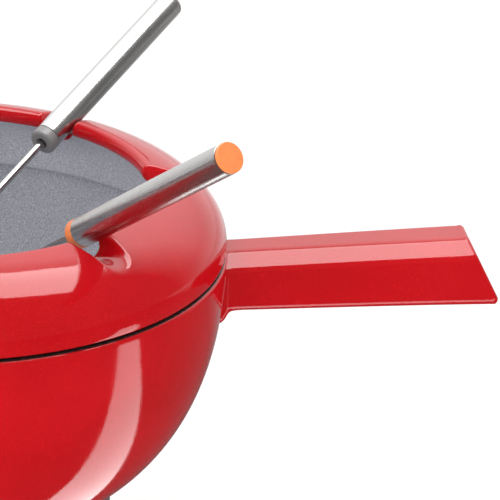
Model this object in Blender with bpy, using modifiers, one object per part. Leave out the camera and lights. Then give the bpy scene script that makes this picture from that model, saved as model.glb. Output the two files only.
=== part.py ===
"""Fondue set: stand, paste burner, enamelled pot, fork guard and six forks.

Metres, +Z up.  The pot's axis is the world Z axis and the table is z = 0.
Azimuths are measured from +X, where the pot's handle points, towards +Y.
"""
import math

import bpy
from mathutils import Vector

MM = 0.001
GAP = 0.3 * MM

# Pot: a squarish bowl, cut flat where it stands on the stand's band.
RIM_HEIGHT = 208.0 * MM
BOWL_RADIUS = 112.9 * MM
BOWL_DEPTH = 121.1 * MM
BOWL_POWER = 2.63
BOWL_MIDDLE = 10.0 * MM
BOTTOM_DROP = 100.0 * MM
WALL = 6.0 * MM
FLOOR = 6.5 * MM
RIM_ROUND = 1.4 * MM
POT_STEPS = 48

# Handle: a tapered bar cast in one piece with the pot.
HANDLE_ROOT = 108.6 * MM
HANDLE_END_TOP = 211.0 * MM
HANDLE_END_LEAN = 14.5 * MM
HANDLE_HALF_WIDTH = (12.0 * MM, 13.5 * MM)
HANDLE_TOP = (-2.8 * MM, 4.5 * MM)
HANDLE_BOTTOM = (-26.2 * MM, -22.5 * MM)
HANDLE_BEVEL = 5.0 * MM

# Guard: a domed ring that sits on the rim and holds the forks apart.
DOME_CIRCLE = 74.4 * MM
DOME_WIDTH = 37.9 * MM
DOME_HEIGHT = 25.2 * MM
DOME_BASE = 4.1 * MM
DOME_START = -6.0
DOME_END = 79.0
INNER_WIDTH = 26.0 * MM
INNER_HEIGHT = 24.0 * MM
INNER_BASE = -1.0 * MM
INNER_END = 76.0
LIP_BULGE = 1.2 * MM
SKIRT_DROP = 4.7 * MM
SKIRT_OUTER = 103.9 * MM
GROOVE_OUTER = 107.4 * MM
GROOVE_TOP = 9.0 * MM
SEAT_OUTER = 110.4 * MM
SEAT_SHADOW = 1.2 * MM
GUARD_STEPS = 56

# Notches: troughs that slope down into the guard's opening.
NOTCHES = 7
FIRST_NOTCH = 53.6
NOTCH_RADIUS = 84.0 * MM
NOTCH_AXIS = 27.3 * MM
NOTCH_HALF_WIDTH = 6.8 * MM
NOTCH_SLOPE = 12.0
NOTCH_REACH = 34.0 * MM
NOTCH_TALL = 30.0 * MM

# Forks: handle tube with a plug at each end and a shaft with two tines.
FORK_RADIUS = 5.8 * MM
FORK_BORE = 5.0 * MM
PLUG_HEAD = 4.5 * MM
CAP_HEAD = 1.6 * MM
PLUG_TAIL = 8.0 * MM
PLUG_RADIUS = FORK_BORE - GAP
GRIP_LENGTH = 102.0 * MM
SHAFT_RADIUS = 1.6 * MM
SHAFT_LENGTH = 155.0 * MM
SHAFT_INSIDE = 11.0 * MM
HEAD_LENGTH = 33.0 * MM
HEAD_HALF_WIDTH = 4.6 * MM
TINE_WIDTH = 2.0 * MM
TINE_LENGTH = 22.0 * MM
TINE_POINT = 7.0 * MM
HEAD_THICKNESS = 1.8 * MM
FORK_STEPS = 16

# One row a fork: notch, turn off the notch's line in degrees, slope in
# degrees, height of its axis over the rim at the notch, how far its grip
# reaches in past the notch, sideways step and colour name.
FORKS = (
    (2, -5.7, 34.5, 33.0 * MM, 11.6 * MM, 0.6 * MM, "orange"),
    (0, -1.6, 21.5, 27.1 * MM, 16.5 * MM, -0.45 * MM, "grey"),
    (6, -3.6, 28.5, 27.8 * MM, 17.0 * MM, 0.0, "yellow"),
    (5, -3.6, 35.5, 28.7 * MM, 14.0 * MM, 0.0, "green"),
    (4, 1.5, 42.0, 29.6 * MM, 16.0 * MM, 0.0, "blue"),
    (3, -2.0, 25.6, 27.6 * MM, 17.0 * MM, 0.0, "red"),
)

# Stand: a band under the pot, four legs and a base plate on a soft pad.
BAND_OUTER = 69.0 * MM
BAND_INNER = 67.0 * MM
BAND_TOP = 109.0 * MM
BAND_TALL = 25.0 * MM
LEG_RADIUS = 3.5 * MM
LEG_COUNT = 4
LEG_START = 45.0
LEG_TOP = 106.0 * MM
LEG_BEND = 80.0 * MM
LEG_FOOT_CIRCLE = 84.0 * MM
PAD_RADIUS = 86.0 * MM
PAD_THICK = 1.5 * MM
PLATE_RADIUS = 92.0 * MM
PLATE_THICK = 2.0 * MM
PLATE_RIM = 7.0 * MM
PLATE_STEP = 3.0 * MM
STAND_STEPS = 40

# Burner: cup, fuel cup with pad and gauze, cover, regulator and snuffer.
CUP_RADIUS = 42.0 * MM
CUP_WALL = 1.5 * MM
CUP_TALL = 40.0 * MM
FUEL_RADIUS = 37.0 * MM
FUEL_WALL = 1.2 * MM
FUEL_TALL = 32.0 * MM
FUEL_FLANGE = 39.5 * MM
GAUZE_THICK = 0.8 * MM
COVER_THICK = 2.0 * MM
FLAME_RADIUS = 22.0 * MM
COVER_SKIRT = 6.0 * MM
REGULATOR_RADIUS = 32.0 * MM
REGULATOR_THICK = 2.0 * MM
VENT_COUNT = 6
VENT_CIRCLE = 27.5 * MM
VENT_RADIUS = 2.8 * MM
VENT_SHUT_TURN = 30.0
VENT_TWIST = 0.13
LEVER_AZIMUTH = math.radians(-105.0)
LEVER_LENGTH = 46.0 * MM
LEVER_HALF_WIDTH = 3.5 * MM
GRIP_BALL = 5.0 * MM
SNUFFER_RADIUS = 25.0 * MM
SNUFFER_TALL = 7.0 * MM
BURNER_STEPS = 32

COLOURS = {
    "enamel": ((0.60, 0.006, 0.004), 0.12, 0.0),
    "steel": ((0.62, 0.62, 0.63), 0.28, 1.0),
    "dark_steel": ((0.20, 0.20, 0.21), 0.35, 1.0),
    "pad": ((0.03, 0.03, 0.03), 0.80, 0.0),
    "wick": ((0.80, 0.78, 0.72), 0.95, 0.0),
    "plastic": ((0.02, 0.02, 0.02), 0.40, 0.0),
    "orange": ((0.90, 0.28, 0.06), 0.35, 0.0),
    "grey": ((0.22, 0.22, 0.23), 0.40, 0.0),
    "yellow": ((0.85, 0.60, 0.04), 0.35, 0.0),
    "green": ((0.10, 0.40, 0.08), 0.35, 0.0),
    "blue": ((0.03, 0.15, 0.50), 0.35, 0.0),
    "red": ((0.60, 0.02, 0.02), 0.35, 0.0),
}


def clear_scene():
    for old in list(bpy.data.objects):
        bpy.data.objects.remove(old, do_unlink=True)


def new_collection(name):
    made = bpy.data.collections.new(name)
    bpy.context.scene.collection.children.link(made)
    return made


def make_material(name, colour_name):
    colour, roughness, metallic = COLOURS[colour_name]
    material = bpy.data.materials.new(name)
    material.use_nodes = True
    shader = material.node_tree.nodes["Principled BSDF"]
    shader.inputs["Base Color"].default_value = (*colour, 1.0)
    shader.inputs["Roughness"].default_value = roughness
    shader.inputs["Metallic"].default_value = metallic
    material.diffuse_color = (*colour, 1.0)
    return material


def place(obj, name, colour_name, parent=None):
    """Name a part, give it its own material and put it in the set."""
    obj.name = name
    obj.data.name = name
    obj.data.materials.clear()
    obj.data.materials.append(make_material(name, colour_name))
    for holder in list(obj.users_collection):
        holder.objects.unlink(obj)
    PARTS.objects.link(obj)
    obj.parent = parent
    return obj


def turned(name, profile, steps, colour_name, closed=True, parent=None):
    """Turn a profile of (radius, height) points about the local Z axis."""
    points = [(radius, 0.0, height) for radius, height in profile]
    edges = [(i, i + 1) for i in range(len(points) - 1)]
    if closed:
        edges.append((len(points) - 1, 0))
    mesh = bpy.data.meshes.new(name)
    mesh.from_pydata(points, edges, [])
    obj = bpy.data.objects.new(name, mesh)
    place(obj, name, colour_name, parent)
    screw = obj.modifiers.new("turn", "SCREW")
    screw.axis = "Z"
    screw.angle = math.tau
    screw.steps = steps
    screw.render_steps = steps
    screw.use_merge_vertices = True
    screw.merge_threshold = 0.00001
    screw.use_smooth_shade = True
    return obj


def sleeve(outer, inner, top, bottom):
    """Profile of a plain ring."""
    return [(outer, top), (outer, bottom), (inner, bottom), (inner, top)]


def cutter(obj):
    """Hide a cutting body away from the parts."""
    for holder in list(obj.users_collection):
        holder.objects.unlink(obj)
    CUTTERS.objects.link(obj)
    obj.hide_render = True
    obj.display_type = "WIRE"
    return obj


def combine(obj, other, operation):
    boolean = obj.modifiers.new(operation.lower(), "BOOLEAN")
    boolean.operation = operation
    boolean.solver = "EXACT"
    boolean.object = other


def flat_body(name, outline, thickness):
    """A closed outline in XY, made solid to both sides of z = 0."""
    curve = bpy.data.curves.new(name, "CURVE")
    curve.dimensions = "2D"
    curve.fill_mode = "BOTH"
    curve.extrude = thickness / 2
    spline = curve.splines.new("POLY")
    spline.points.add(len(outline) - 1)
    for point, (x, y) in zip(spline.points, outline):
        point.co = (x, y, 0.0, 1.0)
    spline.use_cyclic_u = True
    source = bpy.data.objects.new(name, curve)
    bpy.context.scene.collection.objects.link(source)
    bpy.context.view_layer.update()
    graph = bpy.context.evaluated_depsgraph_get()
    mesh = bpy.data.meshes.new_from_object(source.evaluated_get(graph))
    bpy.data.objects.remove(source, do_unlink=True)
    obj = bpy.data.objects.new(name, mesh)
    bpy.context.scene.collection.objects.link(obj)
    weld = obj.modifiers.new("weld", "WELD")
    weld.merge_threshold = 0.00001
    return obj


def bowl_radius(height, shrink, floor_shrink):
    """Radius of the bowl's surface at a height below the rim."""
    depth = (BOWL_MIDDLE - height) / (BOWL_DEPTH - floor_shrink)
    share = max(0.0, 1.0 - depth ** BOWL_POWER)
    return (BOWL_RADIUS - shrink) * share ** (1.0 / BOWL_POWER)


def build_pot():
    outer_heights = (-8, -20, -34, -48, -60, -70, -79, -87, -94, -98.4)
    inner_heights = (-90, -84, -76, -66, -54, -40, -26, -12)
    profile = [(bowl_radius(0, 0, 0) - RIM_ROUND, 0.0)]
    profile.append((bowl_radius(-RIM_ROUND, 0, 0), -RIM_ROUND))
    for height in outer_heights:
        profile.append((bowl_radius(height * MM, 0, 0), height * MM))
    profile.append((bowl_radius(-BOTTOM_DROP, 0, 0) - MM, -BOTTOM_DROP))
    profile.append((0.0, -BOTTOM_DROP))
    inner_floor = -BOTTOM_DROP + FLOOR
    profile.append((0.0, inner_floor))
    profile.append((bowl_radius(inner_floor, WALL, FLOOR) - 3 * MM, inner_floor))
    for height in inner_heights:
        profile.append((bowl_radius(height * MM, WALL, FLOOR), height * MM))
    profile.append((bowl_radius(0, WALL, FLOOR), 0.0))
    pot = turned("pot_body", profile, POT_STEPS, "enamel", parent=POT_FRAME)
    combine(pot, build_handle(), "UNION")
    return pot


def build_handle():
    bpy.ops.mesh.primitive_cube_add(size=2.0)
    handle = cutter(bpy.context.active_object)
    handle.name = "handle_bar"
    for vertex in handle.data.vertices:
        end = 1 if vertex.co.x > 0 else 0
        top = vertex.co.z > 0
        height = HANDLE_TOP[end] if top else HANDLE_BOTTOM[end]
        reach = HANDLE_ROOT
        if end:
            reach = HANDLE_END_TOP if top else HANDLE_END_TOP + HANDLE_END_LEAN
        side = HANDLE_HALF_WIDTH[end] if vertex.co.y > 0 else -HANDLE_HALF_WIDTH[end]
        vertex.co = (reach, side, height)
    handle.parent = POT_FRAME
    bevel = handle.modifiers.new("round", "BEVEL")
    bevel.width = HANDLE_BEVEL
    bevel.segments = 3
    bevel.limit_method = "ANGLE"
    return handle


def ellipse_point(degrees, width, height, base):
    turn = math.radians(degrees)
    return (DOME_CIRCLE + width * math.cos(turn), base + height * math.sin(turn))


def guard_profile():
    outer_count = 9
    inner_count = 7
    lip_top = ellipse_point(DOME_END, DOME_WIDTH, DOME_HEIGHT, DOME_BASE)
    lip_foot = ellipse_point(INNER_END, INNER_WIDTH, INNER_HEIGHT, INNER_BASE)
    profile = []
    for i in range(inner_count, -1, -1):
        angle = INNER_END * i / inner_count
        profile.append(ellipse_point(angle, INNER_WIDTH, INNER_HEIGHT, INNER_BASE))
    profile.append((DOME_CIRCLE + INNER_WIDTH, -SKIRT_DROP))
    profile.append((SKIRT_OUTER, -SKIRT_DROP))
    profile.append((SKIRT_OUTER, GROOVE_TOP))
    profile.append((GROOVE_OUTER, GROOVE_TOP))
    profile.append((GROOVE_OUTER, GAP))
    profile.append((SEAT_OUTER, GAP))
    profile.append((SEAT_OUTER, SEAT_SHADOW))
    for i in range(outer_count + 1):
        angle = DOME_START + (DOME_END - DOME_START) * i / outer_count
        profile.append(ellipse_point(angle, DOME_WIDTH, DOME_HEIGHT, DOME_BASE))
    middle = (lip_top[1] + lip_foot[1]) / 2
    profile.append((lip_top[0] - LIP_BULGE, middle + LIP_BULGE))
    profile.append((lip_foot[0] - LIP_BULGE / 2, middle - LIP_BULGE))
    profile.reverse()
    return profile


def build_guard():
    guard = turned("fork_guard", guard_profile(), GUARD_STEPS, "enamel",
                   parent=GUARD_FRAME)
    for index in range(NOTCHES):
        combine(guard, notch_cutter(index), "DIFFERENCE")
    return guard


def notch_azimuth(index):
    return math.radians(FIRST_NOTCH - index * 360.0 / NOTCHES)


def notch_cutter(index):
    """A round-bottomed trough body, laid along one notch's line."""
    corners = 8
    outline = [(NOTCH_HALF_WIDTH, NOTCH_TALL)]
    for i in range(corners + 1):
        turn = math.pi * i / corners
        outline.append((NOTCH_HALF_WIDTH * math.cos(turn),
                        -NOTCH_HALF_WIDTH * math.sin(turn)))
    outline.append((-NOTCH_HALF_WIDTH, NOTCH_TALL))
    trough = cutter(flat_body(f"notch_{index + 1}", outline, NOTCH_REACH))
    azimuth = notch_azimuth(index)
    slope = math.radians(NOTCH_SLOPE)
    along = Vector((math.cos(azimuth) * math.cos(slope),
                    math.sin(azimuth) * math.cos(slope), math.sin(slope)))
    across = Vector((-math.sin(azimuth), math.cos(azimuth), 0.0))
    trough.parent = GUARD_FRAME
    trough.rotation_euler = axes_to_euler(across, along.cross(across), along)
    trough.location = (NOTCH_RADIUS * math.cos(azimuth),
                       NOTCH_RADIUS * math.sin(azimuth), NOTCH_AXIS)
    return trough


def axes_to_euler(x_axis, y_axis, z_axis):
    """Rotation whose local axes point along the given directions."""
    turned_axes = z_axis.to_track_quat("Z", "Y").to_matrix()
    for column, axis in enumerate((x_axis, y_axis, z_axis)):
        for row in range(3):
            turned_axes[row][column] = axis[row]
    return turned_axes.to_euler()


def fork_direction(azimuth, slope):
    return Vector((math.cos(azimuth) * math.cos(slope),
                   math.sin(azimuth) * math.cos(slope), math.sin(slope)))


def build_fork(number, notch, turn, slope, height, reach_in, step, colour_name):
    """One fork; its local +Z runs from the tines to the cap."""
    radial = notch_azimuth(notch)
    along = fork_direction(radial + math.radians(turn), math.radians(slope))
    across = Vector((-math.sin(radial), math.cos(radial), 0.0))
    over_notch = Vector((NOTCH_RADIUS * math.cos(radial),
                         NOTCH_RADIUS * math.sin(radial), height))
    frame = bpy.data.objects.new(f"fork_{number}_frame", None)
    PARTS.objects.link(frame)
    frame.parent = GUARD_FRAME
    frame.location = over_notch + across * step - along * reach_in
    frame.rotation_euler = along.to_track_quat("Z", "Y").to_euler()
    build_grip(number, colour_name, frame)
    build_shaft(number, frame)


def build_grip(number, colour_name, frame):
    edge = 1.2 * MM
    bore = SHAFT_RADIUS + GAP
    turned(f"fork_{number}_ferrule",
           [(PLUG_RADIUS, PLUG_HEAD + PLUG_TAIL), (PLUG_RADIUS, PLUG_HEAD),
            (FORK_RADIUS, PLUG_HEAD), (FORK_RADIUS, edge),
            (FORK_RADIUS - edge, 0.0), (bore, 0.0),
            (bore, PLUG_HEAD + PLUG_TAIL)],
           FORK_STEPS, colour_name, parent=frame)
    tube_end = GRIP_LENGTH - CAP_HEAD - GAP
    turned(f"fork_{number}_handle",
           sleeve(FORK_RADIUS, FORK_BORE, tube_end, PLUG_HEAD + GAP),
           FORK_STEPS, "steel", parent=frame)
    shoulder = GRIP_LENGTH - CAP_HEAD
    tail = shoulder - PLUG_TAIL
    turned(f"fork_{number}_cap",
           [(0.0, GRIP_LENGTH), (FORK_RADIUS - edge / 2, GRIP_LENGTH - edge / 8),
            (FORK_RADIUS, GRIP_LENGTH - edge / 2), (FORK_RADIUS, shoulder),
            (PLUG_RADIUS, shoulder), (PLUG_RADIUS, tail), (0.0, tail)],
           FORK_STEPS, colour_name, closed=False, parent=frame)


def build_shaft(number, frame):
    """Round shaft with a flat two-tined head joined on."""
    shank = SHAFT_LENGTH - HEAD_LENGTH + TINE_POINT / 2
    bpy.ops.mesh.primitive_cylinder_add(
        vertices=12, radius=SHAFT_RADIUS, depth=shank + SHAFT_INSIDE,
        location=(0.0, 0.0, (SHAFT_INSIDE - shank) / 2))
    shaft = bpy.context.active_object
    place(shaft, f"fork_{number}_shaft", "steel", frame)
    half = [(SHAFT_RADIUS * 0.8, 0.0), (HEAD_HALF_WIDTH, HEAD_LENGTH * 0.25),
            (HEAD_HALF_WIDTH, HEAD_LENGTH - TINE_POINT),
            (HEAD_HALF_WIDTH - TINE_WIDTH / 2, HEAD_LENGTH),
            (HEAD_HALF_WIDTH - TINE_WIDTH, HEAD_LENGTH - TINE_POINT),
            (HEAD_HALF_WIDTH - TINE_WIDTH, HEAD_LENGTH - TINE_LENGTH)]
    outline = half + [(-x, y) for x, y in reversed(half)]
    head = cutter(flat_body(f"fork_{number}_head", outline, HEAD_THICKNESS))
    head.parent = frame
    head.location = (0.0, 0.0, HEAD_LENGTH - SHAFT_LENGTH)
    head.rotation_euler = (-math.pi / 2, 0.0, 0.0)
    combine(shaft, head, "UNION")


def build_stand():
    turned("base_pad", [(0.0, PAD_THICK), (PAD_RADIUS, PAD_THICK),
                        (PAD_RADIUS, 0.0), (0.0, 0.0)],
           STAND_STEPS, "pad", closed=False)
    under = PAD_THICK + GAP
    floor = under + PLATE_THICK
    turned("base_plate",
           [(0.0, floor), (PLATE_RADIUS - PLATE_THICK, floor),
            (PLATE_RADIUS - PLATE_THICK, under + PLATE_RIM),
            (PLATE_RADIUS, under + PLATE_RIM), (PLATE_RADIUS, under),
            (0.0, under)],
           STAND_STEPS, "steel", closed=False)
    turned("support_band",
           sleeve(BAND_OUTER, BAND_INNER, BAND_TOP, BAND_TOP - BAND_TALL),
           STAND_STEPS, "steel")
    for index in range(LEG_COUNT):
        build_leg(index, floor + GAP)


def build_leg(index, foot_height):
    """A bent rod from the band's outside down to the base plate."""
    top_circle = BAND_OUTER + GAP + LEG_RADIUS
    bend = 6.0 * MM
    points = [(top_circle, LEG_TOP), (top_circle, LEG_BEND + bend),
              (top_circle + bend / 6, LEG_BEND - bend),
              (LEG_FOOT_CIRCLE - bend / 6, foot_height + 3 * bend),
              (LEG_FOOT_CIRCLE, foot_height + bend),
              (LEG_FOOT_CIRCLE, foot_height)]
    curve = bpy.data.curves.new("leg", "CURVE")
    curve.dimensions = "3D"
    curve.bevel_depth = LEG_RADIUS
    curve.bevel_resolution = 2
    curve.use_fill_caps = True
    spline = curve.splines.new("POLY")
    spline.points.add(len(points) - 1)
    for point, (radius, height) in zip(spline.points, points):
        point.co = (radius, 0.0, height, 1.0)
    leg = bpy.data.objects.new(f"leg_{index + 1}", curve)
    place(leg, f"leg_{index + 1}", "steel")
    leg.rotation_euler.z = math.radians(LEG_START + index * 360.0 / LEG_COUNT)


def build_burner():
    base = PAD_THICK + 2 * GAP + PLATE_THICK
    turned("burner_cup",
           [(CUP_RADIUS, base + CUP_TALL), (CUP_RADIUS, base + PLATE_STEP),
            (CUP_RADIUS - PLATE_STEP, base), (0.0, base),
            (0.0, base + CUP_WALL), (CUP_RADIUS - PLATE_STEP, base + CUP_WALL),
            (CUP_RADIUS - CUP_WALL, base + PLATE_STEP + CUP_WALL / 2),
            (CUP_RADIUS - CUP_WALL, base + CUP_TALL)],
           BURNER_STEPS, "steel")
    inside = base + CUP_WALL + GAP
    fuel_top = inside + FUEL_TALL
    turned("fuel_cup",
           [(FUEL_FLANGE, fuel_top), (FUEL_FLANGE, fuel_top - FUEL_WALL),
            (FUEL_RADIUS, fuel_top - FUEL_WALL), (FUEL_RADIUS, inside),
            (0.0, inside), (0.0, inside + FUEL_WALL),
            (FUEL_RADIUS - FUEL_WALL, inside + FUEL_WALL),
            (FUEL_RADIUS - FUEL_WALL, fuel_top)],
           BURNER_STEPS, "steel")
    pad_radius = FUEL_RADIUS - FUEL_WALL - GAP
    pad_foot = inside + FUEL_WALL + GAP
    gauze_foot = fuel_top - 3 * GAUZE_THICK
    turned("wick_pad",
           [(0.0, gauze_foot - GAP), (pad_radius, gauze_foot - GAP),
            (pad_radius, pad_foot), (0.0, pad_foot)],
           BURNER_STEPS, "wick", closed=False)
    turned("wire_gauze",
           [(0.0, gauze_foot + GAUZE_THICK),
            (pad_radius, gauze_foot + GAUZE_THICK),
            (pad_radius, gauze_foot), (0.0, gauze_foot)],
           BURNER_STEPS, "dark_steel", closed=False)
    return base + CUP_TALL


def build_burner_top(cup_top):
    cover = cup_top + GAP
    cover_top = cover + COVER_THICK
    skirt = CUP_RADIUS - CUP_WALL - GAP
    burner_cover = turned(
        "burner_cover",
        [(CUP_RADIUS, cover_top), (CUP_RADIUS, cover), (skirt, cover),
         (skirt, cover - COVER_SKIRT), (skirt - CUP_WALL, cover - COVER_SKIRT),
         (skirt - CUP_WALL, cover), (FLAME_RADIUS, cover),
         (FLAME_RADIUS, cover_top)],
        BURNER_STEPS, "steel")
    cut_vents(burner_cover, cover_top, 0.0)
    plate = cover_top + GAP
    plate_top = plate + REGULATOR_THICK
    hole = FLAME_RADIUS + MM
    regulator = turned("regulator_plate",
                       sleeve(REGULATOR_RADIUS, hole, plate_top, plate),
                       BURNER_STEPS, "dark_steel")
    cut_vents(regulator, plate, VENT_SHUT_TURN)
    build_lever(plate + REGULATOR_THICK / 2)
    build_snuffer(plate_top + GAP)


def cut_vents(plate, height, turn):
    """A circle of air holes, turned by an angle in degrees."""
    for index in range(VENT_COUNT):
        azimuth = math.radians(turn + index * 360.0 / VENT_COUNT)
        bpy.ops.mesh.primitive_cylinder_add(
            vertices=10, radius=VENT_RADIUS, depth=6 * COVER_THICK,
            location=(VENT_CIRCLE * math.cos(azimuth),
                      VENT_CIRCLE * math.sin(azimuth), height),
            rotation=(0.0, 0.0, azimuth + VENT_TWIST))
        combine(plate, cutter(bpy.context.active_object), "DIFFERENCE")


def build_lever(height):
    """Flat lever at the front, ending in a round plastic grip."""
    start = REGULATOR_RADIUS + GAP
    end = start + LEVER_LENGTH
    outline = [(start + MM, -LEVER_HALF_WIDTH), (end, -LEVER_HALF_WIDTH / 2),
               (end, LEVER_HALF_WIDTH / 2), (start + MM, LEVER_HALF_WIDTH)]
    lever = flat_body("regulator_lever", outline, REGULATOR_THICK)
    place(lever, "regulator_lever", "dark_steel")
    lever.location.z = height
    lever.rotation_euler.z = LEVER_AZIMUTH
    grip_middle = end + GAP + GRIP_BALL
    bpy.ops.mesh.primitive_uv_sphere_add(segments=16, ring_count=8,
                                         radius=GRIP_BALL)
    grip = bpy.context.active_object
    place(grip, "regulator_grip", "plastic")
    grip.location = (grip_middle * math.cos(LEVER_AZIMUTH),
                     grip_middle * math.sin(LEVER_AZIMUTH), height)
    grip.data.shade_smooth()


def build_snuffer(foot):
    """Domed lid that closes the flame hole, with a turned knob."""
    rim = SNUFFER_RADIUS
    shell = 1.2 * MM
    top = foot + SNUFFER_TALL
    turned("snuffer_lid",
           [(0.0, top), (rim * 0.55, top - shell), (rim * 0.9, top - 3 * shell),
            (rim, foot + shell), (rim, foot), (rim - shell, foot),
            (rim * 0.86, top - 4 * shell), (rim * 0.5, top - 2 * shell),
            (0.0, top - shell)],
           BURNER_STEPS, "steel", closed=False)
    neck = 2.5 * MM
    knob = 6.5 * MM
    stem = top + GAP
    turned("snuffer_knob",
           [(0.0, stem + 12 * MM), (knob * 0.7, stem + 11 * MM),
            (knob, stem + 8 * MM), (knob * 0.6, stem + 5 * MM), (neck, stem + 3 * MM),
            (neck, stem), (0.0, stem)],
           16, "plastic", closed=False)


def frame_at(name, height, parent=None):
    frame = bpy.data.objects.new(name, None)
    PARTS.objects.link(frame)
    frame.location.z = height
    frame.parent = parent
    return frame


clear_scene()
PARTS = new_collection("fondue_set")
CUTTERS = new_collection("cutters")
POT_FRAME = frame_at("pot_frame", RIM_HEIGHT)
GUARD_FRAME = frame_at("guard_frame", 0.0, POT_FRAME)
build_stand()
build_burner_top(build_burner())
build_pot()
build_guard()
for fork_number, fork in enumerate(FORKS, start=1):
    build_fork(fork_number, *fork)
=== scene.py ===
"""Looks of the fondue set: fine surfaces, materials, light and camera.

Metres, +Z up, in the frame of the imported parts.  The pot's axis is the world
Z axis.  Azimuths are measured from +X, where the pot's handle points,
towards +Y.  Heights called "over the rim" are measured from the pot's rim.
"""
import math

import bmesh
import bpy
import numpy as np
from mathutils import Matrix, Vector


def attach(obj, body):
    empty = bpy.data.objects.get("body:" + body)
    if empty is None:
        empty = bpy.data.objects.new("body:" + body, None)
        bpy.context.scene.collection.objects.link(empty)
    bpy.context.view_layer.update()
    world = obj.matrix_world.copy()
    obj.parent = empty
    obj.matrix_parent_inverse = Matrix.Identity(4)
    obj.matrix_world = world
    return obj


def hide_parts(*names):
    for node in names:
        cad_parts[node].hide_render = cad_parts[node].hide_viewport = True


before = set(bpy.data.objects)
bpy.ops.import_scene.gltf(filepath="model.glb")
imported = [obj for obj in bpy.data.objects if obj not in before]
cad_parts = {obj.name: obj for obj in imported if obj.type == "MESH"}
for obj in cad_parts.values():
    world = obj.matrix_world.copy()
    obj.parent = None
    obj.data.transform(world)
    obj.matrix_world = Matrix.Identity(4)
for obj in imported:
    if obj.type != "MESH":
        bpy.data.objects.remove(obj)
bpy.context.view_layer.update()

MM = 0.001
RIM = 208.0 * MM

# Camera and light.
CAMERA_PLACE = (-0.4 * MM, -938.1 * MM, 604.1 * MM)
CAMERA_YAW = 7.465
CAMERA_PITCH = -22.889
CAMERA_ROLL = 2.928
CAMERA_LENS = 184.4
STRIP_AZIMUTH = -20.4

# Pot, in mm, its heights over the rim.
BOWL_RADIUS = 112.9
BOWL_DEPTH = 121.1
BOWL_POWER = 2.63
BOWL_MIDDLE = 10.0
BOTTOM_DROP = 100.0
WALL = 6.0
FLOOR = 6.5
RIM_ROUND = 1.4
BARE_RIM = (108.4, 111.9)

# Handle: heights at its root and how much they rise over its span, in mm.
HANDLE_ROOT = 108.6
HANDLE_SPAN = 111.4
HANDLE_STRAIGHT = (116.5, 206.0)
HANDLE_TOP = (-2.6, 7.1)
HANDLE_BOTTOM = (-26.2, 3.7)
HANDLE_CORNER = 4.6
HANDLE_TALL = 27.0
HANDLE_LEAN = 14.5
HANDLE_REACH = 1.3
HANDLE_END_ROUND = 2.2
SHOULDER_WIDTH = 9.0
SHOULDER_DROP = 4.9

# Guard, in mm; the dome and its hollow are half ovals about one circle.
DOME_CIRCLE = 74.4
DOME_WIDTH = 37.9
DOME_HEIGHT = 25.2
DOME_BASE = 4.1
INNER_WIDTH = 26.0
INNER_HEIGHT = 24.0
INNER_BASE = -1.0
NOTCHES = 7
FIRST_NOTCH = 53.6
NOTCH_RADIUS = 84.0
NOTCH_AXIS = 27.3
NOTCH_HALF_WIDTH = 6.8
NOTCH_SLOPE = 12.0
NOTCH_WALL_LEAN = 68.0
NOTCH_CREST = 4.2
LIP_RADIUS = 82.8
LIP_RECESS = 1.2
LIP_FLAT = 3.8
LIP_EASE = 4.8
LIP_FIXED = 100.0
LIP_THICK = 2.4

# Forks: notch, turn and slope in degrees, height over the rim, reach in past
# the notch and sideways step in mm, and colour of the plugs.
FORKS = (
    (2, -5.7, 34.5, 33.0, 11.6, 0.6, "orange"),
    (0, -1.6, 21.5, 27.1, 16.5, -0.45, "grey"),
    (6, -3.6, 28.5, 27.8, 17.0, 0.0, "yellow"),
    (5, -3.6, 35.5, 28.7, 14.0, 0.0, "green"),
    (4, 1.5, 42.0, 29.6, 16.0, 0.0, "blue"),
    (3, -2.0, 25.6, 27.6, 17.0, 0.0, "red"),
)
PLUG_HEAD = 4.5
CAP_HEAD = 1.6
GRIP_LENGTH = 102.0
PLUG_COLOURS = {
    "orange": (0.96, 0.27, 0.07),
    "grey": (0.235, 0.225, 0.225),
    "yellow": (0.90, 0.58, 0.05),
    "green": (0.13, 0.42, 0.10),
    "blue": (0.04, 0.17, 0.52),
    "red": (0.62, 0.03, 0.03),
}


# ---------------------------------------------------------------- materials

def new_material(name):
    material = bpy.data.materials.new(name)
    material.use_nodes = True
    tree = material.node_tree
    return material, tree, tree.nodes["Principled BSDF"]


def add(tree, kind, **inputs):
    """A node with some of its inputs set; a socket given makes a link."""
    made = tree.nodes.new(kind)
    for name, value in inputs.items():
        socket = made.inputs[name.replace("_", " ")]
        if isinstance(value, bpy.types.NodeSocket):
            tree.links.new(value, socket)
        else:
            socket.default_value = value
    return made


def grain_vector(tree, stretch=(1.0, 1.0, 1.0)):
    """The piece's own coordinates in metres, stretched along its axes."""
    own = tree.nodes.new("ShaderNodeAttribute")
    own.attribute_name = "own"
    mapping = add(tree, "ShaderNodeMapping", Vector=own.outputs["Vector"])
    mapping.inputs["Scale"].default_value = stretch
    return mapping.outputs["Vector"]


def noise(tree, vector, scale, detail=2.0, roughness=0.5):
    made = add(tree, "ShaderNodeTexNoise", Vector=vector, Scale=scale,
               Detail=detail, Roughness=roughness)
    return made.outputs["Fac"]


def remap(tree, value, low, high, to_low, to_high):
    made = tree.nodes.new("ShaderNodeMapRange")
    made.inputs["From Min"].default_value = low
    made.inputs["From Max"].default_value = high
    made.inputs["To Min"].default_value = to_low
    made.inputs["To Max"].default_value = to_high
    tree.links.new(value, made.inputs["Value"])
    return made.outputs["Result"]


def blend_colours(tree, factor, first, second):
    made = tree.nodes.new("ShaderNodeMix")
    made.data_type = "RGBA"
    tree.links.new(factor, made.inputs["Factor"])
    for socket, colour in ((made.inputs[6], first), (made.inputs[7], second)):
        if isinstance(colour, bpy.types.NodeSocket):
            tree.links.new(colour, socket)
        else:
            socket.default_value = (*colour, 1.0)
    return made.outputs[2]


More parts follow.
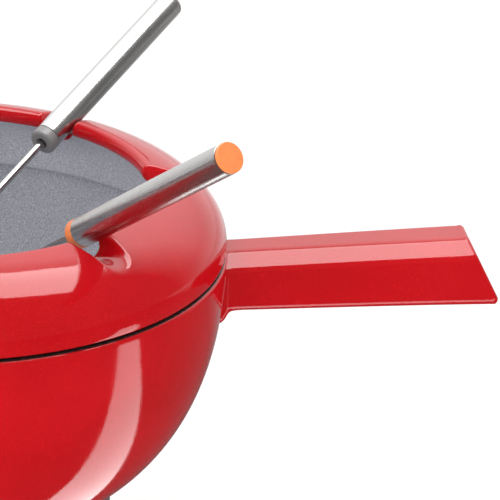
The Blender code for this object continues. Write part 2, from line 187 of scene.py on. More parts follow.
def bump(tree, height, distance, strength=1.0, normal=None):
    made = add(tree, "ShaderNodeBump", Height=height, Distance=distance,
               Strength=strength)
    if normal is not None:
        tree.links.new(normal, made.inputs["Normal"])
    return made.outputs["Normal"]


def red_enamel(name):
    """Thick glossy enamel: fine orange peel, long waves, deeper patches."""
    material, tree, shader = new_material(name)
    vector = grain_vector(tree)
    patches = remap(tree, noise(tree, vector, 22.0, 3.0), 0.35, 0.65, 0.0, 1.0)
    tone = blend_colours(tree, patches, (0.45, 0.0030, 0.006),
                         (0.52, 0.0042, 0.009))
    grains = remap(tree, noise(tree, vector, 1500.0, 1.0), 0.55, 0.75, 0.0, 0.5)
    colour = blend_colours(tree, grains, tone, (0.68, 0.010, 0.012))
    tree.links.new(colour, shader.inputs["Base Color"])
    gloss = remap(tree, noise(tree, vector, 60.0, 3.0), 0.3, 0.7, 0.045, 0.085)
    tree.links.new(gloss, shader.inputs["Roughness"])
    waves = bump(tree, noise(tree, vector, 55.0, 1.0), 0.00006)
    peel = bump(tree, noise(tree, vector, 900.0, 1.5), 0.000012, normal=waves)
    tree.links.new(peel, shader.inputs["Normal"])
    shader.inputs["IOR"].default_value = 1.42
    return material


def grey_enamel(name):
    """Matt blue-grey enamel with fine light and dark specks."""
    material, tree, shader = new_material(name)
    vector = grain_vector(tree)
    patches = remap(tree, noise(tree, vector, 30.0, 3.0), 0.3, 0.7, 0.0, 1.0)
    tone = blend_colours(tree, patches, (0.57, 0.58, 0.635),
                         (0.63, 0.64, 0.695))
    dark = remap(tree, noise(tree, vector, 1700.0, 1.0), 0.50, 0.68, 0.0, 0.75)
    specked = blend_colours(tree, dark, tone, (0.33, 0.335, 0.38))
    shifted = grain_vector(tree, (-1.0, 1.1, 0.9))
    light = remap(tree, noise(tree, shifted, 1500.0, 1.0), 0.54, 0.70, 0.0, 0.8)
    colour = blend_colours(tree, light, specked, (0.90, 0.91, 0.94))
    tree.links.new(colour, shader.inputs["Base Color"])
    gloss = remap(tree, noise(tree, vector, 420.0, 2.0), 0.3, 0.7, 0.40, 0.58)
    tree.links.new(gloss, shader.inputs["Roughness"])
    pits = bump(tree, noise(tree, vector, 1300.0, 2.0), 0.00003)
    tree.links.new(pits, shader.inputs["Normal"])
    return material


def bare_iron(name):
    """Ground cast iron of the rim, left without enamel."""
    material, tree, shader = new_material(name)
    vector = grain_vector(tree)
    spots = remap(tree, noise(tree, vector, 500.0, 3.0), 0.35, 0.7, 0.0, 1.0)
    colour = blend_colours(tree, spots, (0.030, 0.026, 0.025),
                           (0.105, 0.092, 0.088))
    tree.links.new(colour, shader.inputs["Base Color"])
    gloss = remap(tree, noise(tree, vector, 700.0, 2.0), 0.3, 0.7, 0.38, 0.62)
    tree.links.new(gloss, shader.inputs["Roughness"])
    shader.inputs["Metallic"].default_value = 0.6
    pits = bump(tree, noise(tree, vector, 900.0, 2.0), 0.00006)
    tree.links.new(pits, shader.inputs["Normal"])
    return material


def brushed_steel(name, stretch, base=(0.60, 0.595, 0.59), rough=(0.16, 0.30),
                  depth=0.000006, scale=900.0):
    """Stainless steel; the stretch gives the direction of its brush lines."""
    material, tree, shader = new_material(name)
    lines_at = grain_vector(tree, stretch)
    lines = noise(tree, lines_at, scale, 3.0, 0.6)
    broad = noise(tree, grain_vector(tree), 35.0, 2.0)
    tone = tuple(value * 0.86 for value in base)
    shade = remap(tree, lines, 0.3, 0.7, 0.0, 1.0)
    colour = blend_colours(tree, shade, tone, base)
    smudge = remap(tree, broad, 0.35, 0.7, 0.0, 0.35)
    warm = tuple(value * factor for value, factor in zip(base, (0.93, 0.90, 0.87)))
    tree.links.new(blend_colours(tree, smudge, colour, warm),
                   shader.inputs["Base Color"])
    spread = add(tree, "ShaderNodeMath", Value=lines)
    spread.operation = "MULTIPLY_ADD"
    spread.inputs[1].default_value = 0.7
    tree.links.new(remap(tree, broad, 0.3, 0.7, 0.0, 0.3), spread.inputs[2])
    tree.links.new(remap(tree, spread.outputs[0], 0.2, 0.75, *rough),
                   shader.inputs["Roughness"])
    shader.inputs["Metallic"].default_value = 1.0
    tree.links.new(bump(tree, lines, depth), shader.inputs["Normal"])
    return material


def plug_plastic(name, colour):
    """Moulded plastic: fine satin grain, slight variation in tone."""
    material, tree, shader = new_material(name)
    vector = grain_vector(tree)
    soft = remap(tree, noise(tree, vector, 260.0, 3.0), 0.3, 0.7, 0.0, 1.0)
    deep = tuple(value * 0.88 for value in colour)
    tree.links.new(blend_colours(tree, soft, deep, colour),
                   shader.inputs["Base Color"])
    gloss = remap(tree, noise(tree, vector, 1200.0, 2.0), 0.3, 0.7, 0.30, 0.46)
    tree.links.new(gloss, shader.inputs["Roughness"])
    skin = bump(tree, noise(tree, vector, 1800.0, 2.0), 0.000012)
    tree.links.new(skin, shader.inputs["Normal"])
    shader.inputs["Subsurface Weight"].default_value = 0.12
    shader.inputs["Subsurface Radius"].default_value = (0.0012, 0.0008, 0.0006)
    return material


def soft_pad(name, dark, light, scale, rough, depth):
    """Fibre or rubber: mottled, dull, with a coarse skin."""
    material, tree, shader = new_material(name)
    vector = grain_vector(tree)
    mottle = remap(tree, noise(tree, vector, scale, 4.0, 0.7), 0.3, 0.7, 0.0, 1.0)
    tree.links.new(blend_colours(tree, mottle, dark, light),
                   shader.inputs["Base Color"])
    tree.links.new(remap(tree, noise(tree, vector, scale * 2, 2.0), 0.3, 0.7, *rough),
                   shader.inputs["Roughness"])
    tree.links.new(bump(tree, noise(tree, vector, scale * 1.5, 3.0), depth),
                   shader.inputs["Normal"])
    return material


def gauze_wire(name):
    """Woven stainless wire, as crossed waves of wire, with painted shade in the openings
    between them.
    """
    material, tree, shader = new_material(name)
    vector = grain_vector(tree)
    weave = []
    for direction in ("X", "Y"):
        wave = add(tree, "ShaderNodeTexWave", Vector=vector, Scale=110.0)
        wave.bands_direction = direction
        weave.append(wave.outputs["Fac"])
    peak = tree.nodes.new("ShaderNodeMath")
    peak.operation = "MAXIMUM"
    tree.links.new(weave[0], peak.inputs[0])
    tree.links.new(weave[1], peak.inputs[1])
    wire = remap(tree, peak.outputs[0], 0.55, 0.75, 0.0, 1.0)
    # The openings between the wires are painted near black: painted shade in the gaps of
    # the weave.
    tree.links.new(blend_colours(tree, wire, (0.03, 0.028, 0.026),
                                 (0.46, 0.45, 0.43)), shader.inputs["Base Color"])
    tree.links.new(remap(tree, wire, 0.0, 1.0, 0.8, 0.34),
                   shader.inputs["Roughness"])
    shader.inputs["Metallic"].default_value = 0.85
    tree.links.new(bump(tree, peak.outputs[0], 0.0003), shader.inputs["Normal"])
    return material


# ------------------------------------------------------------------- meshes

def finish_mesh(name, mesh_data, materials, body, nodes, place=Matrix()):
    """Turn a bmesh into a piece that stands for some nodes of the frame."""
    bmesh.ops.recalc_face_normals(mesh_data, faces=mesh_data.faces[:])
    mesh = bpy.data.meshes.new(name)
    mesh_data.to_mesh(mesh)
    mesh_data.free()
    own = mesh.attributes.new("own", "FLOAT_VECTOR", "POINT")
    places = np.empty(len(mesh.vertices) * 3, np.float32)
    mesh.vertices.foreach_get("co", places)
    own.data.foreach_set("vector", places)
    mesh.transform(place)
    mesh.shade_smooth()
    for material in materials:
        mesh.materials.append(material)
    piece = bpy.data.objects.new(name, mesh)
    bpy.context.scene.collection.objects.link(piece)
    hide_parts(*nodes)
    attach(piece, body)
    return piece


def round_corners(corners, closed=False, fine=7):
    """Profile points with each corner rounded; a corner is (r, z, radius)."""
    count = len(corners)
    points = []
    for index, (r, z, radius) in enumerate(corners):
        corner = Vector((r, z))
        ends = not closed and index in (0, count - 1)
        if radius <= 0.0 or ends:
            points.append((r, z))
            continue
        before = Vector(corners[index - 1][:2]) - corner
        after = Vector(corners[(index + 1) % count][:2]) - corner
        half_turn = before.angle(after) / 2
        reach = radius / math.tan(half_turn)
        limit = 0.48 * min(before.length, after.length)
        if reach > limit:
            radius *= limit / reach
            reach = limit
        before.normalize()
        after.normalize()
        middle = corner + (before + after).normalized() * (radius / math.sin(half_turn))
        start = corner + before * reach - middle
        swing = start.angle_signed(corner + after * reach - middle)
        hold = min(0.25 * radius, limit - reach)
        if hold > 0.02:
            points.append(tuple(corner + before * (reach + hold)))
        for step in range(fine + 1):
            turn = -swing * step / fine
            spoke = Vector((start.x * math.cos(turn) - start.y * math.sin(turn),
                            start.x * math.sin(turn) + start.y * math.cos(turn)))
            points.append(tuple(middle + spoke))
        if hold > 0.02:
            points.append(tuple(corner + after * (reach + hold)))
    return points


def lathe(mesh_data, profile, steps, closed=False, slot=None, base=0.0):
    """Turn a profile in mm about Z; slot gives each band's material index."""
    rings = []
    for r, z in profile:
        height = base + z * MM
        if r < 1e-6:
            rings.append([mesh_data.verts.new((0.0, 0.0, height))])
            continue
        ring = []
        for step in range(steps):
            turn = math.tau * step / steps
            ring.append(mesh_data.verts.new((r * MM * math.cos(turn),
                                             r * MM * math.sin(turn), height)))
        rings.append(ring)
    bands = list(zip(rings, rings[1:] + rings[:1]))
    if not closed:
        bands.pop()
    for index, (one, two) in enumerate(bands):
        if len(one) == 1 and len(two) == 1:
            continue
        for step in range(steps):
            following = (step + 1) % steps
            if len(one) == 1:
                corners = (one[0], two[step], two[following])
            elif len(two) == 1:
                corners = (one[step], two[0], one[following])
            else:
                corners = (one[step], two[step], two[following], one[following])
            face = mesh_data.faces.new(corners)
            if slot is not None:
                face.material_index = slot(index)


def loft(mesh_data, sections, slot=0):
    """Skin a row of closed outlines with equal counts; both ends are capped."""
    rows = [[mesh_data.verts.new(point) for point in section]
            for section in sections]
    count = len(rows[0])
    for one, two in zip(rows, rows[1:]):
        for index in range(count):
            following = (index + 1) % count
            face = mesh_data.faces.new((one[index], one[following],
                                        two[following], two[index]))
            face.material_index = slot
    for row in (rows[0], rows[-1]):
        mesh_data.faces.new(row).material_index = slot


def turned_piece(name, corners, steps, material, body, closed=True,
                 place=Matrix(), nodes=None):
    """A turned piece of one material from rounded corners."""
    mesh_data = bmesh.new()
    lathe(mesh_data, round_corners(corners, closed), steps, closed)
    return finish_mesh(name, mesh_data, [material], body, nodes, place)


# ---------------------------------------------------------------------- pot

def bowl_radius(height, shrink, floor_shrink):
    depth = (BOWL_MIDDLE - height) / (BOWL_DEPTH - floor_shrink)
    share = max(0.0, 1.0 - depth ** BOWL_POWER)
    return (BOWL_RADIUS - shrink) * share ** (1.0 / BOWL_POWER)


def pot_profile():
    """Profile points from the middle of the bottom, up and down inside."""
    bottom_edge = bowl_radius(-BOTTOM_DROP, 0, 0) - 1.0
    points = [(0.0, -BOTTOM_DROP), (20.0, -BOTTOM_DROP), (40.0, -BOTTOM_DROP)]
    points.append((bottom_edge - 1.5, -BOTTOM_DROP))
    for step in range(1, 7):
        turn = math.radians(15.0 * step)
        points.append((bottom_edge - 1.5 + 1.8 * math.sin(turn),
                       -BOTTOM_DROP + 1.1 * (1 - math.cos(turn))))
    for step in range(61):
        share = step / 60
        height = -98.2 + (98.2 - RIM_ROUND) * share ** 0.85
        points.append((bowl_radius(height, 0, 0), height))
    top = bowl_radius(-RIM_ROUND, 0, 0)
    for step in range(1, 9):
        turn = math.pi / 2 * step / 8
        points.append((top - RIM_ROUND * (1 - math.cos(turn)),
                       -RIM_ROUND + RIM_ROUND * math.sin(turn)))
    inside = bowl_radius(0, WALL, FLOOR)
    points.append((BARE_RIM[0], 0.0))
    points.append((inside + 0.6, 0.0))
    points.append((inside + 0.18, -0.18))
    points.append((inside, -0.7))
    floor = -BOTTOM_DROP + FLOOR
    for step in range(1, 56):
        height = -1.2 + (floor + 1.6) * math.sin(math.pi / 2 * step / 55)
        points.append((bowl_radius(height, WALL, FLOOR), height))
    edge = points[-1][0]
    points.append((edge - 2.0, floor + 0.12))
    points.append((edge - 4.5, floor))
    points.append((30.0, floor))
    points.append((0.0, floor))
    return points


def handle_section(x, top, bottom, half_width, corner):
    """Handle outline across X: flat top, sloping front shoulder, flat sides."""
    corners = [(half_width, bottom, corner), (half_width, top, 5.0),
               (SHOULDER_WIDTH - half_width, top, 8.0),
               (-half_width, top - SHOULDER_DROP, 3.2),
               (-half_width, bottom, corner)]
    return [(x * MM, y * MM, RIM + z * MM)
            for y, z in round_corners(corners, closed=True, fine=10)]


def build_handle():
    """Sections of a tapered bar with a flared root; slant_end gives it its slanted,
    softly rounded end.
    """
    sections = []
    for x, drop in ((106.6, 5.4), (109.0, 5.2), (110.8, 4.7), (112.0, 3.8),
                    (112.9, 2.5), (113.6, 1.3), (114.6, 0.5), (116.5, 0.15)):
        spread = drop * 0.32
        share = (x - HANDLE_ROOT) / HANDLE_SPAN
        sections.append(handle_section(x, HANDLE_TOP[0] + HANDLE_TOP[1] * share,
                                       HANDLE_BOTTOM[0] + HANDLE_BOTTOM[1] * share - drop,
                                       12.1 + spread, HANDLE_CORNER))
    start, end = HANDLE_STRAIGHT
    for step in range(1, 25):
        x = start + (end - start) * step / 24
        along = (x - HANDLE_ROOT) / HANDLE_SPAN
        sections.append(handle_section(x, HANDLE_TOP[0] + HANDLE_TOP[1] * along,
                                       HANDLE_BOTTOM[0] + HANDLE_BOTTOM[1] * along,
                                       12.0 + 1.5 * along, HANDLE_CORNER))
    return sections


def slant_end(sections):
    """Shear the bar's outer part so that it ends in a leaning face."""
    start, end = HANDLE_STRAIGHT
    sheared = []
    for section in sections:
        x = section[0][0] / MM
        share = max(0.0, (x - start) / (end - start))
        moved = []
        for px, py, pz in section:
            over = (pz - RIM) / MM
            low = (5.0 - over) / HANDLE_TALL
            reach = HANDLE_REACH + HANDLE_LEAN * low
            moved.append((px + reach * share ** 6 * MM, py, pz))
        sheared.append(moved)
    last = sheared[-1]
    middle = Vector((sum(p[0] for p in last), sum(p[1] for p in last),
                     sum(p[2] for p in last))) / len(last)
    out = Vector((HANDLE_TALL, 0.0, HANDLE_LEAN)).normalized()
    for step in range(1, 7):
        turn = math.pi / 2 * step / 6
        inset = HANDLE_END_ROUND * (1 - math.cos(turn))
        cap = []
        for point in last:
            spoke = Vector(point) - middle
            shrunk = spoke * (1 - inset * MM / spoke.length)
            rise = out * HANDLE_END_ROUND * MM * math.sin(turn)
            cap.append(tuple(middle + shrunk + rise))
        sheared.append(cap)
    return sheared


def build_pot():
    mesh_data = bmesh.new()
    profile = pot_profile()

    def slot(index):
        r, z = profile[index]
        following = profile[min(index + 1, len(profile) - 1)]
        if z > -0.9 and BARE_RIM[0] <= (r + following[0]) / 2 <= BARE_RIM[1]:
            return 2
        inner = bowl_radius(min(z, 0.0), WALL, FLOOR) + 1.6
        if z >= -BOTTOM_DROP + FLOOR - 0.1 and r <= inner:
            return 1
        return 0

    lathe(mesh_data, profile, 256, slot=slot, base=RIM)
    loft(mesh_data, slant_end(build_handle()))
    materials = [red_enamel("pot_red"), grey_enamel("pot_grey"),
                 bare_iron("pot_bare_rim")]
    return finish_mesh("pot_shell", mesh_data, materials, "pot", ["pot_body"])


# -------------------------------------------------------------------- guard

def dome_height(r):
    share = min(1.0, abs(r - DOME_CIRCLE) / DOME_WIDTH)
    return DOME_BASE + DOME_HEIGHT * math.sqrt(1 - share * share)


def soft_least(a, b, width):
    """The lesser of two heights, with the change between them rounded."""
    mix = max(width - abs(a - b), 0.0) / width
    return min(a, b) - mix * mix * width * 0.25


def trough_height(r, offset):
    """Height of a notch's surface at a radius and azimuth offset."""
    along = r * math.cos(offset)
    side = abs(r * math.sin(offset))
    slope = math.radians(NOTCH_SLOPE)
    axis = NOTCH_AXIS + (along - NOTCH_RADIUS) * math.tan(slope)
    wall = math.radians(NOTCH_WALL_LEAN)
    straight = NOTCH_HALF_WIDTH * math.sin(wall)
    if side < straight:
        return axis - math.sqrt(NOTCH_HALF_WIDTH ** 2 - side ** 2) / math.cos(slope)
    rise = (side - straight) * math.tan(wall) - NOTCH_HALF_WIDTH * math.cos(wall)
    return axis + rise / math.cos(slope)


def inner_height(r):
    """Height of the guard's hollow underside."""
    share = min(1.0, abs(r - DOME_CIRCLE) / INNER_WIDTH)
    return INNER_BASE + INNER_HEIGHT * math.sqrt(1 - share * share)


def lip_place(offset):
    """Radius of the guard's lip, drawn back where a notch cuts through."""
    side = abs(LIP_RADIUS * math.sin(offset))
    share = min(1.0, max(0.0, (side - LIP_FLAT) / LIP_EASE))
    return LIP_RADIUS + LIP_RECESS * (1 - share * share * (3 - 2 * share))


def drawn_back(r, lip):
    """Radius moved out with the lip; it keeps its place past LIP_FIXED."""
    if r >= LIP_FIXED:
        return r
    return LIP_FIXED - (LIP_FIXED - r) * (LIP_FIXED - lip) / (LIP_FIXED - LIP_RADIUS)


def guard_point(point, offset, lip):
    """Radius and height of a profile point at an azimuth offset."""
    r, z, share, _slot, kind = point
    if kind == "seat":
        return r, z
    r = drawn_back(r, lip)
    top = soft_least(dome_height(r), trough_height(r, offset), NOTCH_CREST)
    if kind == "top":
        return r, top if r > LIP_RADIUS - 1.0 and r < 107.0 else z
    if kind == "under":
        return r, min(inner_height(r), top - LIP_THICK) if r < LIP_FIXED else z
    low = min(inner_height(lip), top - LIP_THICK)
    high = soft_least(dome_height(lip), trough_height(lip, offset), NOTCH_CREST)
    low = min(low, high - LIP_THICK)
    half = (high - low) / 2
    turn = math.pi * share
    return lip - 0.86 * half * math.sin(turn), (high + low) / 2 + half * math.cos(turn)


def guard_profile():
    """Points (r, z, share, slot, kind) from the outer seat over the dome."""
    points = [(107.4, 9.0), (107.4, 0.7), (107.8, 0.3), (110.0, 0.3), (110.4, 0.6)]
    points = [(r, z, 0.0, 2, "seat") for r, z in points]
    points.append((110.5, 1.25, 0.0, 0, "seat"))
    for step in range(1, 6):
        turn = math.radians(-90 + 15 * step)
        points.append((111.15 + 0.9 * math.cos(turn), 1.95 + 0.75 * math.sin(turn),
                       0.0, 0, "seat"))
    last = math.degrees(math.acos((LIP_RADIUS - DOME_CIRCLE) / DOME_WIDTH))
    for step in range(55):
        angle = math.radians(-2.5 + (last + 2.5) * (step / 54) ** 0.93)
        points.append((DOME_CIRCLE + DOME_WIDTH * math.cos(angle),
                       DOME_BASE + DOME_HEIGHT * math.sin(angle), 0.0, 0, "top"))
    for step in range(1, 20):
        points.append((LIP_RADIUS, 0.0, step / 20, 0 if step < 17 else 1, "lip"))
    first = math.degrees(math.acos((LIP_RADIUS - DOME_CIRCLE) / INNER_WIDTH))
    for step in range(31):
        angle = math.radians(first * (1 - step / 30))
        points.append((DOME_CIRCLE + INNER_WIDTH * math.cos(angle),
                       INNER_BASE + INNER_HEIGHT * math.sin(angle), 1.0, 1, "under"))
    for r, z, slot in ((100.4, -2.8, 1), (100.5, -4.3, 1), (100.9, -4.7, 1),
                       (103.4, -4.7, 2), (103.9, -4.2, 2), (103.9, 9.0, 2)):
        points.append((r, z, 0.0, slot, "seat"))
    return points


def guard_azimuths():
    """Columns round the guard, close together at the notches."""
    pitch = math.tau / NOTCHES
    columns = []
    for notch in range(NOTCHES):
        middle = math.radians(FIRST_NOTCH) - notch * pitch
        dense = math.radians(9.6)
        count = 78
        for step in range(count):
            share = -1.0 + 2.0 * step / count
            columns.append(middle + dense * share)
        spare = pitch - 2 * dense
        for step in range(22):
            columns.append(middle + dense + spare * step / 22)
    return sorted(columns)


def build_guard():
    profile = guard_profile()
    columns = guard_azimuths()
    pitch = math.tau / NOTCHES
    first = math.radians(FIRST_NOTCH)
    mesh_data = bmesh.new()
    rows = []
    for azimuth in columns:
        offset = (azimuth - first + pitch / 2) % pitch - pitch / 2
        lip = lip_place(offset)
        row = []
        for point in profile:
            r, z = guard_point(point, offset, lip)
            row.append(mesh_data.verts.new((r * MM * math.cos(azimuth),
                                            r * MM * math.sin(azimuth),
                                            RIM + z * MM)))
        rows.append(row)
    count = len(profile)
    for row, following_row in zip(rows, rows[1:] + rows[:1]):
        for index in range(count):
            following = (index + 1) % count
            face = mesh_data.faces.new((row[index], following_row[index],
                                        following_row[following], row[following]))
            face.material_index = profile[following][3]
    materials = [red_enamel("guard_red"), grey_enamel("guard_grey"),
                 bare_iron("guard_seat")]
    return finish_mesh("guard_shell", mesh_data, materials, "guard",
                       ["fork_guard"])


# -------------------------------------------------------------------- forks

def fork_place(notch, turn, slope, height, reach_in, step):
    """Matrix that puts a fork, built along +Z, over its notch."""
    radial = math.radians(FIRST_NOTCH - notch * 360.0 / NOTCHES)
    azimuth = radial + math.radians(turn)
    lean = math.radians(slope)
    along = Vector((math.cos(azimuth) * math.cos(lean),
                    math.sin(azimuth) * math.cos(lean), math.sin(lean)))
    across = Vector((-math.sin(radial), math.cos(radial), 0.0))
    origin = Vector((NOTCH_RADIUS * math.cos(radial),
                     NOTCH_RADIUS * math.sin(radial), height + RIM / MM))
    origin += across * step - along * reach_in
    return (Matrix.Translation(origin * MM)
            @ along.to_track_quat("Z", "Y").to_matrix().to_4x4())


def oval(half_x, half_y, height, shift=0.0, power=2.0, count=20):
    """Closed outline of an oval in the fork's own coordinates."""
    points = []
    for step in range(count):
        turn = math.tau * step / count
        c, s = math.cos(turn), math.sin(turn)
        x = math.copysign(abs(c) ** (2.0 / power), c) * half_x
        y = math.copysign(abs(s) ** (2.0 / power), s) * half_y
        points.append(((x + shift) * MM, y * MM, height * MM))
    return points


def build_fork_shaft(number, place, material):
    mesh_data = bmesh.new()
    head = -155.0
    sections = [oval(1.2, 1.2, 10.9)]
    sections.append(oval(1.6, 1.6, 10.5))
    for height in (0.0, -40.0, -80.0, -112.0):
        sections.append(oval(1.6, 1.6, height))
    for half_x, half_y, height in ((1.65, 1.5, -118.0), (2.1, 1.25, -121.5),
                                   (3.1, 1.0, -125.5), (4.1, 0.9, -129.0),
                                   (4.55, 0.9, -131.5), (4.6, 0.9, -133.6)):
        sections.append(oval(half_x, half_y, height, power=2.5))
    loft(mesh_data, sections)
    for side in (-1.0, 1.0):
        tine = [oval(0.95, 0.82, -131.0, 3.55 * side, 3.0)]
        tine.append(oval(1.0, 0.85, -135.0, 3.55 * side, 3.0))
        tine.append(oval(0.98, 0.8, -145.0, 3.55 * side, 3.0))
        tine.append(oval(0.85, 0.65, -150.0, 3.6 * side, 2.6))
        tine.append(oval(0.5, 0.4, -153.4, 3.7 * side, 2.3))
        tine.append(oval(0.15, 0.15, head, 3.75 * side, 2.0))
        loft(mesh_data, tine)
    name = f"fork_{number}_rod"
    finish_mesh(name, mesh_data, [material], f"fork_{number}",
                [f"fork_{number}_shaft"], place)


def build_fork(number, row):
    colour = row[6]
    place = fork_place(*row[:6])
    body = f"fork_{number}"
    plastic = plug_plastic(f"plug_{colour}", PLUG_COLOURS[colour])
    steel = brushed_steel(f"fork_{number}_tube", (1.0, 1.0, 0.02),
                          base=(0.54, 0.532, 0.526), rough=(0.19, 0.33), depth=0.000011)
    rod = brushed_steel(f"fork_{number}_polish", (1.0, 1.0, 0.03),
                        base=(0.50, 0.495, 0.49), rough=(0.06, 0.14), depth=0.000002)
    tube_start, tube_end = PLUG_HEAD + 0.3, GRIP_LENGTH - CAP_HEAD - 0.3
    turned_piece(f"fork_{number}_collar",
                 [(4.7, 12.5, 0.4), (4.7, PLUG_HEAD, 0.0), (5.75, PLUG_HEAD, 0.2),
                  (5.75, 0.0, 1.3), (2.5, 0.0, 0.25), (2.3, 0.5, 0.1),
                  (1.9, 0.7, 0.0), (1.9, 12.5, 0.2)],
                 64, plastic, body, place=place, nodes=[f"fork_{number}_ferrule"])
    turned_piece(f"fork_{number}_tube",
                 [(5.75, tube_end, 0.22), (5.75, tube_start, 0.22),
                  (5.0, tube_start, 0.15), (5.0, tube_end, 0.15)],
                 96, steel, body, place=place, nodes=[f"fork_{number}_handle"])
    shoulder = GRIP_LENGTH - CAP_HEAD
    top = GRIP_LENGTH - 0.25
    turned_piece(f"fork_{number}_plug",
                 [(0.0, top, 0.0), (3.2, top, 0.0), (5.65, top - 0.1, 0.5),
                  (5.65, shoulder, 0.2), (4.7, shoulder, 0.0),
                  (4.7, shoulder - 8.0, 0.4), (0.0, shoulder - 8.0, 0.0)],
                 64, plastic, body, closed=False, place=place,
                 nodes=[f"fork_{number}_cap"])
    build_fork_shaft(number, place, rod)


# -------------------------------------------------------- stand and burner

def build_leg(index, material):
    """Rod bent at the band's foot, a little thinner at its top end."""
    azimuth = math.radians(45.0 + 90.0 * index)
    guide = [(72.8, 106.0), (72.8, 98.0), (72.8, 90.0), (72.85, 86.0),
             (73.1, 81.0), (73.7, 76.0), (75.0, 66.0), (77.5, 48.0),
             (80.0, 33.0), (82.4, 19.0), (83.4, 12.5), (84.0, 8.0),
             (84.0, 5.6), (84.0, 4.1)]
    radii = [2.7] + [3.5] * (len(guide) - 1)
    sections = []
    for step, ((r, z), radius) in enumerate(zip(guide, radii)):
        before = guide[max(step - 1, 0)]
        after = guide[min(step + 1, len(guide) - 1)]
        along = Vector((before[0] - after[0], before[1] - after[1])).normalized()
        if step == len(guide) - 1:
            along = Vector((0.0, 1.0))
        section = []
        for turn_step in range(28):
            turn = math.tau * turn_step / 28
            lift = -along.x * math.cos(turn) * radius
            out = r + along.y * math.cos(turn) * radius
            side = math.sin(turn) * radius
            section.append(((out * math.cos(azimuth) - side * math.sin(azimuth)) * MM,
                            (out * math.sin(azimuth) + side * math.cos(azimuth)) * MM,
                            (z + lift) * MM))
        sections.append(section)
    mesh_data = bmesh.new()
    loft(mesh_data, sections)
    finish_mesh(f"stand_leg_{index + 1}", mesh_data, [material], "stand",
                [f"leg_{index + 1}"])


def build_stand():
    ringed = brushed_steel("stand_ringed", (1.0, 1.0, 1.0), rough=(0.2, 0.34),
                           scale=500.0)
    rod = brushed_steel("stand_rod", (1.0, 1.0, 0.05), rough=(0.10, 0.22))
    band = brushed_steel("stand_band", (0.04, 0.04, 1.0), rough=(0.14, 0.28))
    rubber = soft_pad("stand_rubber", (0.018, 0.018, 0.019), (0.04, 0.04, 0.042),
                      600.0, (0.62, 0.85), 0.00005)
    turned_piece("stand_pad", [(0.0, 1.5, 0.0), (86.0, 1.5, 0.5),
                               (86.0, 0.0, 0.5), (0.0, 0.0, 0.0)],
                 128, rubber, "stand", closed=False, nodes=["base_pad"])
    turned_piece("stand_plate",
                 [(0.0, 3.8, 0.0), (30.0, 3.8, 0.0), (60.0, 3.8, 0.0),
                  (90.0, 3.8, 2.5), (90.0, 8.8, 0.9), (92.0, 8.8, 0.9),
                  (92.0, 1.8, 2.0), (0.0, 1.8, 0.0)],
                 160, ringed, "stand", closed=False, nodes=["base_plate"])
    turned_piece("stand_band",
                 [(69.0, 109.0, 0.7), (69.0, 84.0, 0.7), (67.0, 84.0, 0.7),
                  (67.0, 109.0, 0.7)],
                 192, band, "stand", nodes=["support_band"])
    for index in range(4):
        build_leg(index, rod)


def vented_disc(name, nodes, body, material, outer, inner, low, high, turn,
                skirt=None):
    """Disc with a middle hole and six air holes, edges rounded."""
    mesh_data = bmesh.new()
    profile = [(outer, high, 0.6), (outer, low, 0.3)]
    if skirt is not None:
        profile += [(skirt, low, 0.2), (skirt, low - 6.0, 0.5),
                    (skirt - 1.5, low - 6.0, 0.5), (skirt - 1.5, low, 0.5)]
    profile += [(inner, low, 0.5), (inner, high, 0.7)]
    lathe(mesh_data, round_corners(profile, True), 128, True)
    piece = finish_mesh(name, mesh_data, [material], body, nodes)
    for index in range(6):
        azimuth = math.radians(turn + 60.0 * index)
        bore = bmesh.new()
        bmesh.ops.create_cone(bore, cap_ends=True, segments=40, radius1=2.8 * MM,
                              radius2=2.8 * MM, depth=10.0 * MM)
        bore.transform(Matrix.Translation((27.5 * MM * math.cos(azimuth),
                                           27.5 * MM * math.sin(azimuth),
                                           (low + high) / 2 * MM)))
        mesh = bpy.data.meshes.new("bore")
        bore.to_mesh(mesh)
        bore.free()
        tool = bpy.data.objects.new("bore", mesh)
        bpy.context.scene.collection.objects.link(tool)
        cut = piece.modifiers.new("cut", "BOOLEAN")
        cut.operation = "DIFFERENCE"
        cut.object = tool
        bpy.context.view_layer.update()
        graph = bpy.context.evaluated_depsgraph_get()
        result = bpy.data.meshes.new_from_object(piece.evaluated_get(graph))
        piece.modifiers.clear()
        piece.data = result
        bpy.data.objects.remove(tool, do_unlink=True)
    piece.data.shade_smooth()
    piece.data.set_sharp_from_angle(angle=math.radians(40.0))
    return piece


